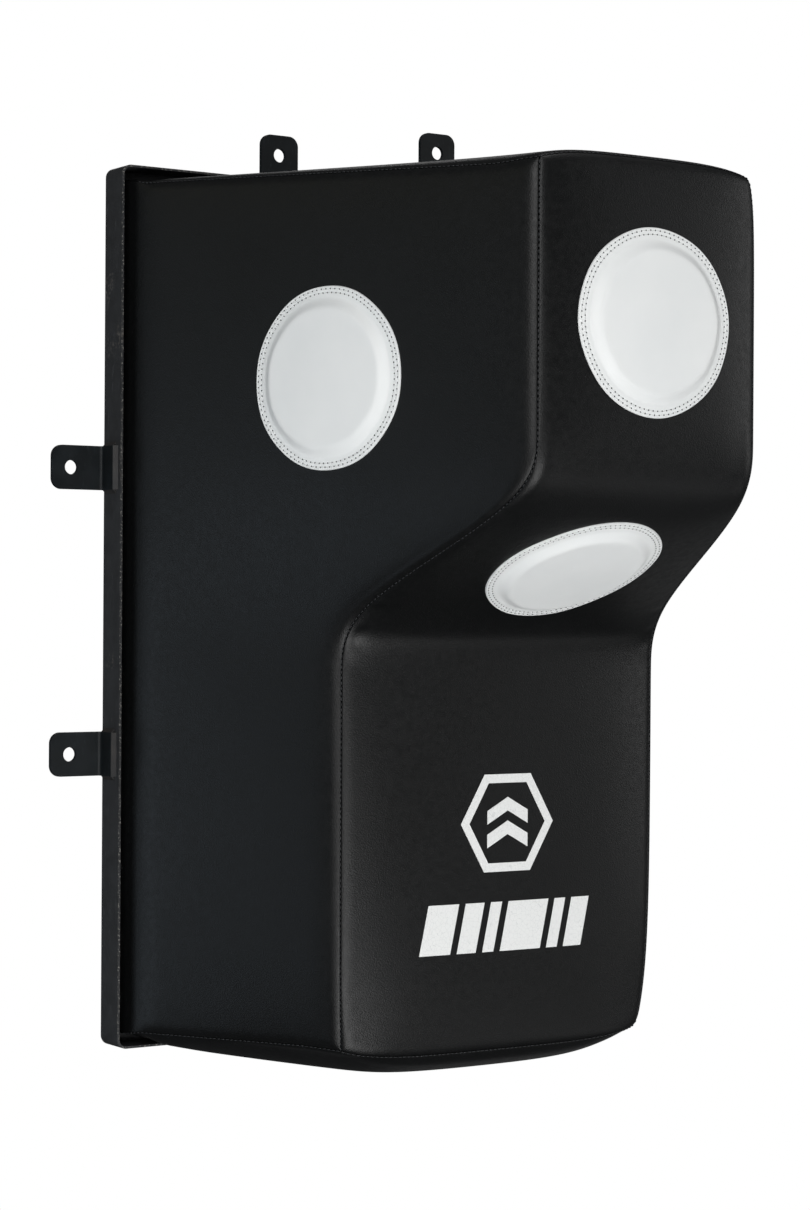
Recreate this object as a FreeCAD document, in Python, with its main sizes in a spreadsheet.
import FreeCAD, Part
import math
import os
import Sketcher
from FreeCAD import Placement, Rotation, Vector

# A wall-mounted wing pad: a shallow steel tray with six bolting lugs holds a padded wooden core.
# The core stands out from the wall as a wing: a deep head above, a shallower body below, and a
# slope under the head that takes rising blows. Round white targets are sewn on the cover.
#
# Frame, in millimetres: the wall is the plane Y = 0, the pad stands out from it towards -Y, +X is
# to the right for someone facing the pad and +Z is up. The origin is the centre of the tray's back.
# "Depth" below is the distance out from the wall, so a point's Y is minus its depth.

DIMENSIONS = {
    # steel tray
    "tray_wide": 544,
    "tray_tall": 800,
    "tray_deep": 33,
    "steel": 2,
    "tray_corner": 9,
    # bolting lugs, bent from flat bar and welded to the tray's edge
    "lug_wide": 40,
    "lug_thick": 4,
    "lug_leg": 24,
    "lug_end": 19,
    "lug_bend": 3,
    "lug_round": 10,
    "bolt_hole": 13,
    "side_reach": 35,
    "top_left_reach": 28,
    "top_right_reach": 47,
    "side_lug_up": 130,
    "side_lug_drop": 4,
    "top_lug_out": 90,
    "weld_leg": 3.5,
    # outside of the padded wing
    "side_gap": 8,
    "end_gap": 11,
    "head_depth": 457,
    "body_depth": 249,
    "head_half": 113,
    "body_half": 168,
    "knee_high": 117,
    "knee_low": -18,
    "top_drop": 18,
    "bottom_rise": 2,
    # layers, from the outside in
    "cover": 1.5,
    "hem_back": 4,
    "front_foam": 40,
    "side_foam": 32,
    "side_foam_least": 12,
    "end_foam": 25,
    "board": 12,
    "back_board": 18,
    "batten": 30,
    # round targets
    "target_radius": 79.5,
    "target_rim": 10,
    "target_bevel": 9,
    "target_foam": 8,
    "target_skin": 1.5,
    "front_target_up": 238,
    "side_target_up": 196,
    "side_target_depth": 253,
    "under_target_down": 133,
    # fasteners
    "screw_radius": 2,
    "screw_head": 4.1,
    "screw_long": 32,
    "tray_screw_radius": 2.4,
    "tray_screw_head": 4.8,
    "tray_screw_long": 17,
    "tray_screw_out": 120,
    "screw_margin": 100,
    "rib_screw_margin": 45,
    "staple_wide": 11,
    "staple_wire": 1.2,
    "staple_leg": 8,
    "staple_margin": 30,
    # how far a cutting block runs past what it cuts
    "overrun": 60,
}

BACK_SCREWS = 5
TRAY_SCREWS = 4
FRONT_SCREWS = 3
END_SCREWS = 2
SIDE_STAPLES = 13
END_STAPLES = 9

# Lengths that follow from the sheet, as expressions.
EDGE = "(dims.tray_wide / 2 - dims.steel - dims.side_gap)"
END = "(dims.tray_tall / 2 - dims.steel - dims.end_gap)"
BOARD_FRONT = "(dims.steel + dims.back_board)"
RISE = "(dims.knee_high - dims.knee_low)"
RUN = "(dims.head_depth - dims.body_depth)"
SLOPE = f"atan({RISE} / {RUN})"
KNEE_TURN = f"tan((90 deg - {SLOPE}) / 2)"
HEAD_SLANT = f"(({EDGE} - dims.head_half) / (dims.head_depth - dims.tray_deep))"
BODY_SLANT = (f"(({EDGE} - dims.body_half - dims.side_foam + dims.side_foam_least)"
              " / (dims.body_depth - dims.tray_deep))")
CORE_SLANT = f"max({HEAD_SLANT}; {BODY_SLANT})"
PANEL_ANGLE = f"atan({HEAD_SLANT})"
SIDE_ANGLE = f"atan({CORE_SLANT})"
CORE_TOP = f"({END} - dims.top_drop - dims.cover - dims.end_foam)"
CORE_BOTTOM = f"(-{END} + dims.bottom_rise + dims.cover + dims.end_foam)"
PADDING = "(dims.cover + dims.front_foam)"
SIDE_PADDING = "(dims.cover + dims.side_foam)"
SCREW_HALF = "(dims.tray_tall / 2 - dims.screw_margin)"
SCREW_PITCH = f"({SCREW_HALF} * 2 / {BACK_SCREWS - 1})"

doc = FreeCAD.newDocument("wing_pad")
sheet = doc.addObject("Spreadsheet::Sheet", "dims")
nodes = []


def fill_sheet():
    for row, (name, value) in enumerate(DIMENSIONS.items(), start=1):
        sheet.set(f"A{row}", name)
        sheet.set(f"B{row}", str(value))
        sheet.setAlias(f"B{row}", name)
    doc.recompute()


def value(expression):
    return float(sheet.evalExpression(expression))


def keep(piece, label):
    """Names a finished piece, which is then written to its own file."""
    piece.Label = label
    nodes.append(piece)
    return piece


def place(piece, x="0", y="0", z="0", axis=(0, 0, 1), turn="0 deg"):
    """Turns a piece about an axis through its own origin, then moves that origin to x, y, z."""
    piece.Placement = Placement(Vector(), Rotation(Vector(*axis), value(turn)))
    piece.setExpression("Placement.Rotation.Angle", turn)
    piece.setExpression("Placement.Base.x", x)
    piece.setExpression("Placement.Base.y", y)
    piece.setExpression("Placement.Base.z", z)
    return piece


# ---------------------------------------------------------------- sketches and features

def new_body(name):
    body = doc.addObject("PartDesign::Body", name)
    body.AllowCompound = True
    return body


def origin_feature(body, role):
    return next(item for item in body.Origin.OriginFeatures if item.Role == role)


def polygon(body, plane, points, lift=None):
    """A closed outline on one of the body's origin planes, every corner bound to the sheet."""
    sketch = body.newObject("Sketcher::SketchObject", "outline")
    sketch.AttachmentSupport = [(origin_feature(body, plane), "")]
    sketch.MapMode = "FlatFace"
    if lift is not None:
        sketch.setExpression("AttachmentOffset.Base.z", lift)
    corners = [Vector(value(across), value(along), 0) for across, along in points]
    count = len(corners)
    for index, corner in enumerate(corners):
        sketch.addGeometry(Part.LineSegment(corner, corners[(index + 1) % count]), False)
    for index in range(count):
        sketch.addConstraint(Sketcher.Constraint("Coincident", index, 2, (index + 1) % count, 1))
    for index, (across, along) in enumerate(points):
        for kind, expression in (("DistanceX", across), ("DistanceY", along)):
            rule = Sketcher.Constraint(kind, -1, 1, index, 1, value(expression))
            number = sketch.addConstraint(rule)
            sketch.setExpression(f"Constraints[{number}]", expression)
    return sketch


def rectangle(low_across, high_across, low_along, high_along):
    return [(low_across, low_along), (high_across, low_along),
            (high_across, high_along), (low_across, high_along)]


def pad(body, sketch, length, both_ways=False):
    feature = body.newObject("PartDesign::Pad", "pad")
    feature.Profile = sketch
    feature.SideType = "Symmetric" if both_ways else "One side"
    feature.setExpression("Length", length)
    return feature


def pocket(body, sketch, length=None):
    """Cuts along the outline's back direction; with no length it cuts right through."""
    feature = body.newObject("PartDesign::Pocket", "pocket")
    feature.Profile = sketch
    if length is None:
        feature.Type = "ThroughAll"
        feature.SideType = "Symmetric"
    else:
        feature.setExpression("Length", length)
    return feature


def revolve(body, sketch):
    """Turns a half section about the sketch's own vertical axis."""
    feature = body.newObject("PartDesign::Revolution", "revolution")
    feature.Profile = sketch
    feature.ReferenceAxis = (sketch, ["V_Axis"])
    feature.Angle = 360
    return feature


def fillet(body, base, wanted, radius):
    """Rounds the edges of base that wanted(edge) picks."""
    doc.recompute()
    names = [f"Edge{number}" for number, edge in enumerate(base.Shape.Edges, start=1) if wanted(edge)]
    feature = body.newObject("PartDesign::Fillet", "fillet")
    feature.Base = (base, names)
    feature.setExpression("Radius", radius)
    return feature


def runs_along(edge, direction):
    """True for a straight edge along a direction."""
    if not isinstance(edge.Curve, Part.Line):
        return False
    return abs(edge.Curve.Direction.dot(direction)) > 0.999


def row_of(body, feature, count, length):
    """Repeats a feature along the body's Z axis, with its copies spread over a length."""
    pattern = body.newObject("PartDesign::LinearPattern", "row")
    pattern.Originals = [feature]
    pattern.Direction = (origin_feature(body, "Z_Axis"), [""])
    pattern.setExpression("Length", length)
    pattern.Occurrences = count
    body.Tip = pattern
    return pattern


def boolean(kind, base, tool):
    result = doc.addObject(f"Part::{kind}", kind.lower())
    result.Base = base
    result.Tool = tool
    return result


def group(members, name):
    result = doc.addObject("Part::Compound", name)
    result.Links = members
    return result


def block(low, high):
    """A cutting block between two corners given as expressions."""
    box = doc.addObject("Part::Box", "block")
    for name, start, stop in zip(("Length", "Width", "Height"), low, high):
        box.setExpression(name, f"({stop}) - ({start})")
    for axis, start in zip("xyz", low):
        box.setExpression(f"Placement.Base.{axis}", start)
    return box


# ---------------------------------------------------------------- steel tray and lugs

def steel_tray(screws):
    body = new_body("tray")
    half_wide, half_tall = "dims.tray_wide / 2", "dims.tray_tall / 2"
    outer = rectangle(f"-{half_wide}", half_wide, f"-{half_tall}", half_tall)
    shell = pad(body, polygon(body, "XZ_Plane", outer), "dims.tray_deep")
    inner = rectangle(f"-{half_wide} + dims.steel", f"{half_wide} - dims.steel",
                      f"-{half_tall} + dims.steel", f"{half_tall} - dims.steel")
    mouth = polygon(body, "XZ_Plane", inner, lift="dims.tray_deep")
    hollow = pocket(body, mouth, "dims.tray_deep - dims.steel")
    outside = value(half_wide) - value("dims.steel") / 2

    def outer_corner(edge):
        return runs_along(edge, Vector(0, 1, 0)) and abs(edge.CenterOfMass.x) > outside

    def inner_corner(edge):
        return runs_along(edge, Vector(0, 1, 0)) and abs(edge.CenterOfMass.x) < outside

    rounded = fillet(body, hollow, outer_corner, "dims.tray_corner")
    fillet(body, rounded, inner_corner, "dims.tray_corner - dims.steel")
    doc.recompute()
    if hollow.Shape.Volume >= shell.Shape.Volume:
        raise RuntimeError("the tray's hollow is not cut")
    keep(boolean("Cut", body, screws), "steel_tray")


def lug(label, reach, x="0", z="0", turn="0 deg"):
    """An L of flat bar. In its own frame the tray's edge is X = 0 and it reaches out along +X."""
    body = new_body("lug")
    thick, leg = "dims.lug_thick", "-dims.lug_leg"
    tip = f"{reach} + dims.lug_end"
    ell = [("0", "0"), (tip, "0"), (tip, f"-{thick}"), (thick, f"-{thick}"), (thick, leg), ("0", leg)]
    bar = pad(body, polygon(body, "XY_Plane", ell), "dims.lug_wide", both_ways=True)
    inner_bend = value(thick)

    def bend_edge(edge):
        centre = edge.CenterOfMass
        at_bend = abs(centre.x - inner_bend) < 0.01 and abs(centre.y + inner_bend) < 0.01
        return runs_along(edge, Vector(0, 0, 1)) and at_bend

    def tip_edge(edge):
        return runs_along(edge, Vector(0, 1, 0)) and edge.CenterOfMass.x > value(reach)

    bent = fillet(body, bar, bend_edge, "dims.lug_bend")
    fillet(body, bent, tip_edge, "dims.lug_round")
    hole = body.newObject("Sketcher::SketchObject", "hole")
    hole.AttachmentSupport = [(origin_feature(body, "XZ_Plane"), "")]
    hole.MapMode = "FlatFace"
    radius = value("dims.bolt_hole / 2")
    hole.addGeometry(Part.Circle(Vector(value(reach), 0, 0), Vector(0, 0, 1), radius), False)
    hole.addConstraint(Sketcher.Constraint("PointOnObject", 0, 3, -1))
    across = hole.addConstraint(Sketcher.Constraint("DistanceX", -1, 1, 0, 3, value(reach)))
    hole.setExpression(f"Constraints[{across}]", reach)
    round_ = hole.addConstraint(Sketcher.Constraint("Radius", 0, radius))
    hole.setExpression(f"Constraints[{round_}]", "dims.bolt_hole / 2")
    pocket(body, hole)
    place(body, x=x, z=z, axis=(0, 1, 0), turn=turn)
    keep(body, label)


def weld(x, z, turn):
    """The beads round one lug's folded leg: across its end and along both its sides."""
    body = new_body("weld")
    bead, leg, half = "dims.weld_leg", "dims.lug_leg", "dims.lug_wide / 2"
    across = [("0", f"-{leg}"), (bead, f"-{leg}"), ("0", f"-{leg} - {bead}")]
    pad(body, polygon(body, "XY_Plane", across), "dims.lug_wide", both_ways=True)
    for side in ("", "-"):
        along = [("0", f"{side}{half}"), (bead, f"{side}{half}"), ("0", f"{side}({half} + {bead})")]
        pad(body, polygon(body, "XZ_Plane", along, lift="dims.lug_thick"), f"{leg} - dims.lug_thick")
    return place(body, x=x, z=z, axis=(0, 1, 0), turn=turn)


def lugs_and_welds():
    side, top = "dims.tray_wide / 2", "dims.tray_tall / 2"
    upper, lower = "dims.side_lug_up - dims.side_lug_drop", "-dims.side_lug_up - dims.side_lug_drop"
    out = "dims.top_lug_out"
    places = [
        ("left_upper_lug", "dims.side_reach", f"-{side}", upper, "180 deg"),
        ("left_lower_lug", "dims.side_reach", f"-{side}", lower, "180 deg"),
        ("right_upper_lug", "dims.side_reach", side, upper, "0 deg"),
        ("right_lower_lug", "dims.side_reach", side, lower, "0 deg"),
        ("top_left_lug", "dims.top_left_reach", f"-{out}", top, "-90 deg"),
        ("top_right_lug", "dims.top_right_reach", out, top, "-90 deg"),
    ]
    beads = []
    for label, reach, x, z, turn in places:
        lug(label, reach, x, z, turn)
        beads.append(weld(x, z, turn))
    keep(group(beads, "welds"), "lug_welds")


# ---------------------------------------------------------------- fasteners

def screw_row(count, length, x, y, z, size="screw", axis=(0, 0, 1), turn="0 deg"):
    """Countersunk screws that point along -Y in their own frame, in a row along Z."""
    body = new_body("screws")
    shank, head, long = f"dims.{size}_radius", f"dims.{size}_head", f"dims.{size}_long"
    section = [("0", "0"), (head, "0"), (shank, f"{shank} - {head}"),
               (shank, f"{shank} * 2 - {long}"), ("0", f"-{long}")]
    screw = revolve(body, polygon(body, "XY_Plane", section))
    row_of(body, screw, count, length)
    return place(body, x, y, z, axis, turn)


def tray_screws():
    rows = []
    for side in ("-", ""):
        rows.append(screw_row(TRAY_SCREWS, f"{SCREW_HALF} * 2", f"{side}dims.tray_screw_out", "0",
                              f"-{SCREW_HALF}", size="tray_screw"))
    return keep(group(rows, "tray_screw_rows"), "tray_screws")


def batten_middle():
    return f"({side_face(BOARD_FRONT)} - dims.board / cos({SIDE_ANGLE}) - dims.batten / 2)"


def core_screws():
    """One size of wood screw holds the core: back board, side boards, front and end boards."""
    rows = []
    spread = f"{SCREW_HALF} * 2"
    for x in (f"-{batten_middle()}", "0", batten_middle()):
        rows.append(screw_row(BACK_SCREWS, spread, x, "-dims.steel", f"-{SCREW_HALF}"))
    depth = f"({BOARD_FRONT} + dims.batten / 2)"
    for side, turn in (("-", f"90 deg + {SIDE_ANGLE}"), ("", f"-90 deg - {SIDE_ANGLE}")):
        rows.append(screw_row(BACK_SCREWS - 1, f"{spread} - {SCREW_PITCH}", side + side_face(depth),
                              f"-{depth}", f"-{SCREW_HALF} + {SCREW_PITCH} / 2", turn=turn))
    margin = "dims.rib_screw_margin"
    head = f"({CORE_TOP} - dims.knee_high - {PADDING} * {KNEE_TURN} - 2 * {margin})"
    rows.append(screw_row(FRONT_SCREWS, head, "0", f"-dims.head_depth + {PADDING}",
                          f"{CORE_TOP} - {margin} - {head}", turn="180 deg"))
    low = f"(dims.knee_low + {PADDING} * {KNEE_TURN} - {CORE_BOTTOM} - 2 * {margin})"
    rows.append(screw_row(FRONT_SCREWS, low, "0", f"-dims.body_depth + {PADDING}",
                          f"{CORE_BOTTOM} + {margin}", turn="180 deg"))
    for level, front, start, turn in (
            (CORE_TOP, "dims.head_depth", f"-{BOARD_FRONT} - {margin}", "90 deg"),
            (CORE_BOTTOM, "dims.body_depth", None, "-90 deg")):
        length = f"({front} - {PADDING} - dims.board - {BOARD_FRONT} - 2 * {margin})"
        y = start or f"-{BOARD_FRONT} - {margin} - {length}"
        rows.append(screw_row(END_SCREWS, length, "0", y, level, axis=(1, 0, 0), turn=turn))
    return keep(group(rows, "core_screw_rows"), "core_screws")


def staple_row(count, length, x, z, axis, turn):
    """Wire staples with their crown on Y = 0 and legs along -Y, in a row along Z."""
    body = new_body("staples")
    wire, leg, half = "dims.staple_wire", "-dims.staple_leg", "dims.staple_wide / 2"
    shape = [(wire, f"-{half}"), (wire, half), (leg, half), (leg, f"{half} - {wire}"),
             ("0", f"{half} - {wire}"), ("0", f"{wire} - {half}"), (leg, f"{wire} - {half}"),
             (leg, f"-{half}")]
    staple = pad(body, polygon(body, "YZ_Plane", shape), wire, both_ways=True)
    row_of(body, staple, count, length)
    return place(body, x, "-dims.steel - dims.back_board / 2", z, axis, turn)


def cover_staples():
    tall, wide = f"({END} - dims.staple_margin)", f"({EDGE} - dims.staple_margin)"
    rows = [
        staple_row(SIDE_STAPLES, f"{tall} * 2", f"-{EDGE}", f"-{tall}", (0, 0, 1), "90 deg"),
        staple_row(SIDE_STAPLES, f"{tall} * 2", EDGE, f"-{tall}", (0, 0, 1), "-90 deg"),
        staple_row(END_STAPLES, f"{wide} * 2", f"-{wide}", END, (1, 1, 1), "120 deg"),
        staple_row(END_STAPLES, f"{wide} * 2", f"-{wide}", f"-{END}", (-1, 1, -1), "120 deg"),
    ]
    return keep(group(rows, "staple_rows"), "cover_staples")


# ---------------------------------------------------------------- the wing's own outlines

def side_face(depth):
    """Half width of the core, to the outside of its flat side boards, at a depth.

    The boards follow the head's sides, or slant more where the body is narrow, so that the foam
    over them never gets too thin.
    """
    return f"({EDGE} - {CORE_SLANT} * ({depth} - dims.tray_deep) - {SIDE_PADDING})"


def top_line(depth):
    return f"({END} - dims.top_drop * ({depth} - dims.tray_deep) / (dims.head_depth - dims.tray_deep))"


def bottom_line(depth):
    fall = f"({depth} - dims.tray_deep) / (dims.body_depth - dims.tray_deep)"
    return f"(-{END} + dims.bottom_rise * {fall})"


def knees(inset):
    """The two corners of the slope under the head, on a line set in from the cover's outside."""
    lift = f"{inset} * {KNEE_TURN}"
    return [(f"-(dims.head_depth - {inset})", f"dims.knee_high + {lift}"),
            (f"-(dims.body_depth - {inset})", f"dims.knee_low + {lift}")]


def wing_prism(name, front="0", ends="0"):
    """The wing's side outline, as wide as the tray, set in from the front and from both ends."""
    body = new_body(name)
    head, low = f"(dims.head_depth - {front})", f"(dims.body_depth - {front})"
    back, mouth = "-dims.hem_back", "-dims.tray_deep"
    side_view = [(back, f"{END} - {ends}"), (mouth, f"{END} - {ends}"),
                 (f"-{head}", f"{top_line(head)} - {ends}"), *knees(front),
                 (f"-{low}", f"{bottom_line(low)} + {ends}"),
                 (mouth, f"-{END} + {ends}"), (back, f"-{END} + {ends}")]
    pad(body, polygon(body, "YZ_Plane", side_view), "dims.tray_wide", both_ways=True)
    return body


def core_outline(front, ends, stretch="1"):
    """The wooden core's side outline; stretch lengthens it for a board that lies at a slant."""
    back = f"-{BOARD_FRONT}"
    (head, high), (low, under) = knees(front)
    corners = [(back, f"{CORE_TOP} - {ends}"), (head, f"{CORE_TOP} - {ends}"), (head, high),
               (low, under), (low, f"{CORE_BOTTOM} + {ends}"), (back, f"{CORE_BOTTOM} + {ends}")]
    return [(f"({across} - {back}) * {stretch}", along) for across, along in corners]


def wing_loft(name, inset="0"):
    """The wing in plan, ruled from the body's width up to the head's, set in along X."""
    body = new_body(name)
    levels = [
        ("dims.body_half", "dims.body_depth", f"-{END} - dims.overrun"),
        ("dims.body_half", "dims.body_depth", "dims.knee_low"),
        ("dims.head_half", "dims.head_depth", "dims.knee_high"),
        ("dims.head_half", "dims.head_depth", f"{END} + dims.overrun"),
    ]
    sections = []
    for half, depth, height in levels:
        edge, front = f"({EDGE} - {inset})", f"({half} - {inset})"
        plan = [(f"-{edge}", "-dims.hem_back"), (f"-{edge}", "-dims.tray_deep"),
                (f"-{front}", f"-{depth}"), (front, f"-{depth}"),
                (edge, "-dims.tray_deep"), (edge, "-dims.hem_back")]
        sections.append(polygon(body, "XY_Plane", plan, lift=height))
    loft = body.newObject("PartDesign::AdditiveLoft", "loft")
    loft.Profile = sections[0]
    loft.Sections = sections[1:]
    loft.Ruled = True
    return body


# ---------------------------------------------------------------- wooden core

def back_board(fasteners):
    body = new_body("back_panel")
    wide, tall = f"({EDGE} - dims.cover)", f"({END} - dims.cover)"
    face = polygon(body, "XZ_Plane", rectangle(f"-{wide}", wide, f"-{tall}", tall), lift="dims.steel")
    pad(body, face, "dims.back_board")
    keep(boolean("Cut", body, fasteners), "back_board")


def side_board(label, side, planform, screws):
    """A flat board cut to the wing's outline and slanted inwards, with its rear edge bevelled."""
    body = new_body("side_panel")
    stretch = f"(1 / cos({SIDE_ANGLE}))"
    outline = core_outline(f"({PADDING} + dims.board)", "dims.board", stretch)
    board = pad(body, polygon(body, "YZ_Plane", outline), "dims.board")
    board.Reversed = side > 0
    sign, turn = ("", f"-{SIDE_ANGLE}") if side > 0 else ("-", SIDE_ANGLE)
    place(body, x=sign + side_face(BOARD_FRONT), y=f"-{BOARD_FRONT}", turn=turn)
    keep(boolean("Cut", boolean("Common", body, planform), screws), label)


def batten(label, side, screws):
    """A strip in the corner between the back board and a side board, which both screw into."""
    body = new_body("strip")

    def inner(depth):
        return f"({side_face(depth)} - dims.board / cos({SIDE_ANGLE}))"

    near, far = BOARD_FRONT, f"({BOARD_FRONT} + dims.batten)"
    section = [(f"{side}{inner(near)}", f"-{near}"), (f"{side}{inner(far)}", f"-{far}"),
               (f"{side}({inner(near)} - dims.batten)", f"-{far}"),
               (f"{side}({inner(near)} - dims.batten)", f"-{near}")]
    bottom = f"({CORE_BOTTOM} + dims.board)"
    sketch = polygon(body, "XY_Plane", section, lift=bottom)
    pad(body, sketch, f"{CORE_TOP} - dims.board - {bottom}")
    keep(boolean("Cut", body, screws), label)


def centre_rib(screws):
    body = new_body("rib")
    outline = core_outline(f"({PADDING} + dims.board)", "dims.board")
    pad(body, polygon(body, "YZ_Plane", outline), "dims.board", both_ways=True)
    place(body, y=f"-{BOARD_FRONT}")
    keep(boolean("Cut", body, screws), "centre_rib")


def end_board(label, front, low, screws):
    """The board that closes the core's top or bottom, between the back board and the front one."""
    body = new_body("end_panel")
    depth = f"({front} - {PADDING} - dims.board)"
    near, far = side_face(BOARD_FRONT), side_face(depth)
    plan = [(f"-{near}", f"-{BOARD_FRONT}"), (near, f"-{BOARD_FRONT}"), (far, f"-{depth}"),
            (f"-{far}", f"-{depth}")]
    pad(body, polygon(body, "XY_Plane", plan, lift=low), "dims.board")
    keep(boolean("Cut", body, screws), label)


def front_boards(planform, screws):
    """Three boards with mitred joints: the head's face, the slope under it and the body's face."""
    outer, inner = knees(PADDING), knees(f"({PADDING} + dims.board)")
    sections = {
        "head_board": [(outer[0][0], CORE_TOP), outer[0], inner[0], (inner[0][0], CORE_TOP)],
        "slope_board": [outer[0], outer[1], inner[1], inner[0]],
        "body_board": [outer[1], (outer[1][0], CORE_BOTTOM), (inner[1][0], CORE_BOTTOM), inner[1]],
    }
    for label, section in sections.items():
        body = new_body("front_panel")
        pad(body, polygon(body, "YZ_Plane", section), "dims.tray_wide", both_ways=True)
        keep(boolean("Cut", boolean("Common", body, planform), screws), label)


def core_planform():
    """A block with the core's slanted sides, which bevels the edges of the boards that meet them."""
    body = new_body("planform")
    near, far = side_face(BOARD_FRONT), side_face("dims.head_depth")
    plan = [(f"-{near}", f"-{BOARD_FRONT}"), (near, f"-{BOARD_FRONT}"), (far, "-dims.head_depth"),
            (f"-{far}", "-dims.head_depth")]
    pad(body, polygon(body, "XY_Plane", plan, lift=CORE_BOTTOM), f"{CORE_TOP} - {CORE_BOTTOM}")
    return body


# ---------------------------------------------------------------- foam and cover

def zone(low_z, high_z, back, low_x="-dims.tray_wide", high_x="dims.tray_wide"):
    """A block from a depth outwards, past the head, between two heights and two widths."""
    front = "-dims.head_depth - dims.overrun"
    return block((low_x, front, low_z), (high_x, f"-{back}", high_z))


def foam(lining, planform):
    """Foam sheets glued on the core: two ends, two sides and three on the front."""
    roof, floor = f"{END} + dims.overrun", f"-{END} - dims.overrun"
    keep(boolean("Common", lining, zone(CORE_TOP, roof, BOARD_FRONT)), "top_foam")
    keep(boolean("Common", lining, zone(floor, CORE_BOTTOM, BOARD_FRONT)), "bottom_foam")
    core_body = new_body("core_prism")
    core = pad(core_body, polygon(core_body, "YZ_Plane", core_outline(PADDING, "0")), "dims.tray_wide",
               both_ways=True)
    core.Label = "core side outline"
    place(core_body, y=f"-{BOARD_FRONT}")
    sides = boolean("Cut", boolean("Common", lining, core_body), planform)
    left = zone(CORE_BOTTOM, CORE_TOP, BOARD_FRONT, high_x="0")
    right = zone(CORE_BOTTOM, CORE_TOP, BOARD_FRONT, low_x="0")
    keep(boolean("Common", sides, left), "left_foam")
    keep(boolean("Common", sides, right), "right_foam")
    outer, inner = knees("dims.cover"), knees(PADDING)
    sections = {
        "head_foam": [(outer[0][0], CORE_TOP), outer[0], inner[0], (inner[0][0], CORE_TOP)],
        "slope_foam": [outer[0], outer[1], inner[1], inner[0]],
        "body_foam": [outer[1], (outer[1][0], CORE_BOTTOM), (inner[1][0], CORE_BOTTOM), inner[1]],
    }
    for label, section in sections.items():
        body = new_body("front_layer")
        pad(body, polygon(body, "YZ_Plane", section), "dims.tray_wide", both_ways=True)
        keep(boolean("Common", body, lining), label)


def cover_panels(outer_loft, inner_loft, staples):
    """Five panels of coated fabric, sewn edge to edge, with a hem stapled round the back board."""
    full = wing_prism("full_prism")
    short = wing_prism("short_prism", ends="dims.cover")
    inset = wing_prism("inset_prism", front="dims.cover", ends="dims.cover")
    roof, floor = f"{END} + dims.overrun", f"-{END} - dims.overrun"
    ends = boolean("Cut", boolean("Common", outer_loft, full), short)
    sides = boolean("Cut", boolean("Common", outer_loft, short), inner_loft)
    panels = {
        "top_cover": boolean("Common", ends, zone("0", roof, "0")),
        "bottom_cover": boolean("Common", ends, zone(floor, "0", "0")),
        "left_cover": boolean("Common", sides, zone(floor, roof, "0", high_x="0")),
        "right_cover": boolean("Common", sides, zone(floor, roof, "0", low_x="0")),
    }
    for label, panel in panels.items():
        keep(boolean("Cut", panel, staples), label)
    front = boolean("Cut", short, inset)
    keep(boolean("Common", front, inner_loft), "front_cover")
    return boolean("Common", inner_loft, inset)


# ---------------------------------------------------------------- round targets

def target(name, x, y, z, axis, turn):
    """A foam disc under a white skin with a flat sewn rim. It faces -Y in its own frame."""
    rim = "(dims.target_radius - dims.target_rim)"
    plateau = f"({rim} - dims.target_bevel)"
    foam_top, skin = "-dims.target_foam", "-dims.target_skin"
    outside = f"{foam_top} - dims.target_skin"
    filling = [("0", "0"), (rim, "0"), (plateau, foam_top), ("0", foam_top)]
    shell = [("0", foam_top), (plateau, foam_top), (rim, "0"), ("dims.target_radius", "0"),
             ("dims.target_radius", skin), (rim, skin), (plateau, outside), ("0", outside)]
    for part, section in (("pad", filling), ("cover", shell)):
        body = new_body("disc")
        revolve(body, polygon(body, "XY_Plane", section))
        place(body, x, y, z, axis, turn)
        keep(body, f"{name}_target_{part}")


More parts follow.
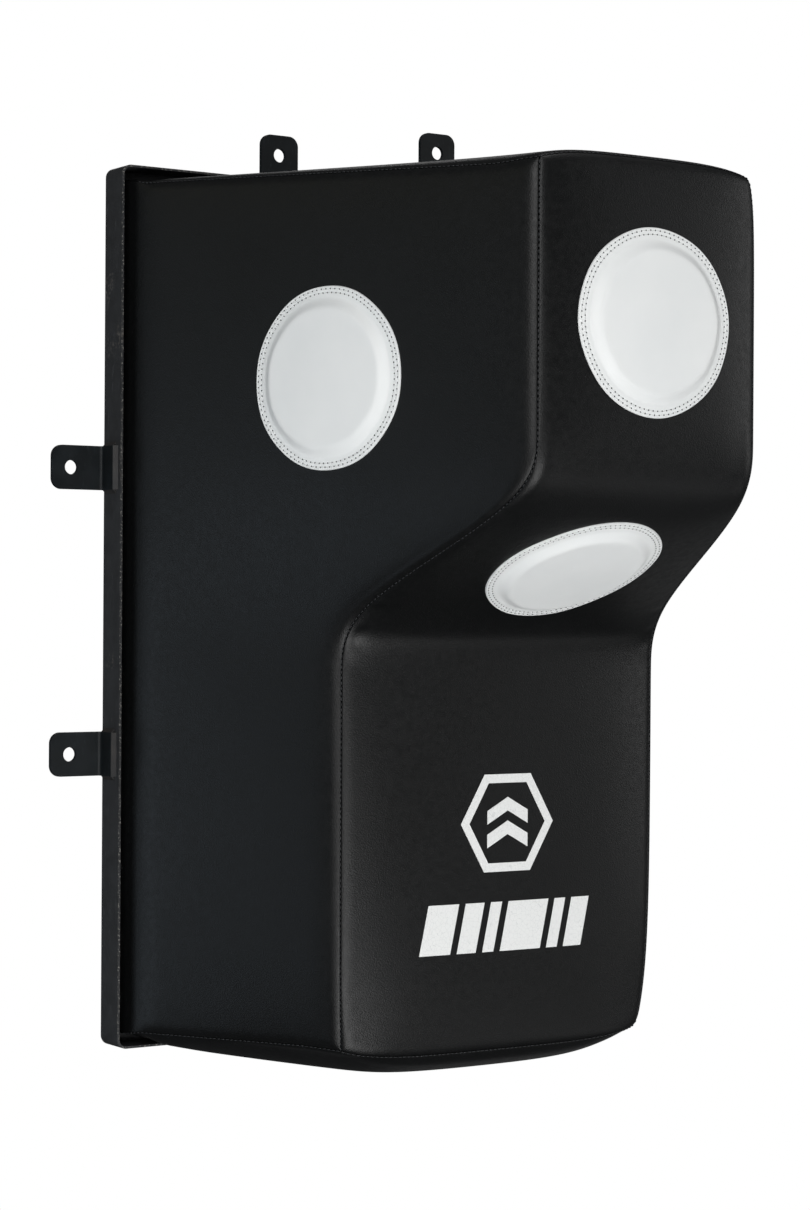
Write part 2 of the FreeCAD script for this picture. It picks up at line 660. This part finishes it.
def targets():
    target("front", "0", "-dims.head_depth", "dims.front_target_up", (0, 0, 1), "0 deg")
    depth = "dims.side_target_depth"
    out = f"({EDGE} - {HEAD_SLANT} * ({depth} - dims.tray_deep))"
    sides = (("left", "-", f"{PANEL_ANGLE} - 90 deg"), ("right", "", f"90 deg - {PANEL_ANGLE}"))
    for name, side, turn in sides:
        target(name, side + out, f"-{depth}", "dims.side_target_up", (0, 0, 1), turn)
    down = "dims.under_target_down"
    target("under", "0", f"-dims.head_depth + {down} * cos({SLOPE})",
           f"dims.knee_high - {down} * sin({SLOPE})", (1, 0, 0), f"90 deg - {SLOPE}")


# ---------------------------------------------------------------- build and write

def build():
    fill_sheet()
    tray_fixings = tray_screws()
    core_fixings = core_screws()
    staples = cover_staples()
    steel_tray(tray_fixings)
    lugs_and_welds()
    back_board(group([tray_fixings, core_fixings, staples], "back_fixings"))
    planform = core_planform()
    side_board("left_side_board", -1, planform, core_fixings)
    side_board("right_side_board", 1, planform, core_fixings)
    batten("left_batten", "-", core_fixings)
    batten("right_batten", "", core_fixings)
    centre_rib(core_fixings)
    end_board("top_board", "dims.head_depth", f"{CORE_TOP} - dims.board", core_fixings)
    end_board("bottom_board", "dims.body_depth", CORE_BOTTOM, core_fixings)
    front_boards(planform, core_fixings)
    outer_loft = wing_loft("outer_loft")
    inner_loft = wing_loft("inner_loft", inset="dims.cover")
    lining = cover_panels(outer_loft, inner_loft, staples)
    foam(lining, planform)
    targets()
    doc.recompute()


def check():
    """Stops if any object of the document failed, or a piece has no sound shape."""
    for item in doc.Objects:
        if any(word in item.State for word in ("Invalid", "Error")):
            raise RuntimeError(f"{item.Name} ({item.Label}) failed: {item.State}")
    for piece in nodes:
        if piece.Shape.isNull() or not piece.Shape.isValid() or not piece.Shape.Solids:
            raise RuntimeError(f"{piece.Label} has no sound shape")


def write():
    os.makedirs("parts", exist_ok=True)
    for piece in nodes:
        piece.Shape.exportStep(f"parts/{piece.Label}.step")
        box = piece.Shape.BoundBox
        print(f"{piece.Label:20s} solids {len(piece.Shape.Solids):3d}  volume {piece.Shape.Volume:12.1f}"
              f"  x {box.XMin:7.1f} {box.XMax:7.1f}  y {box.YMin:7.1f} {box.YMax:6.1f}"
              f"  z {box.ZMin:7.1f} {box.ZMax:7.1f}")


build()
check()
write()
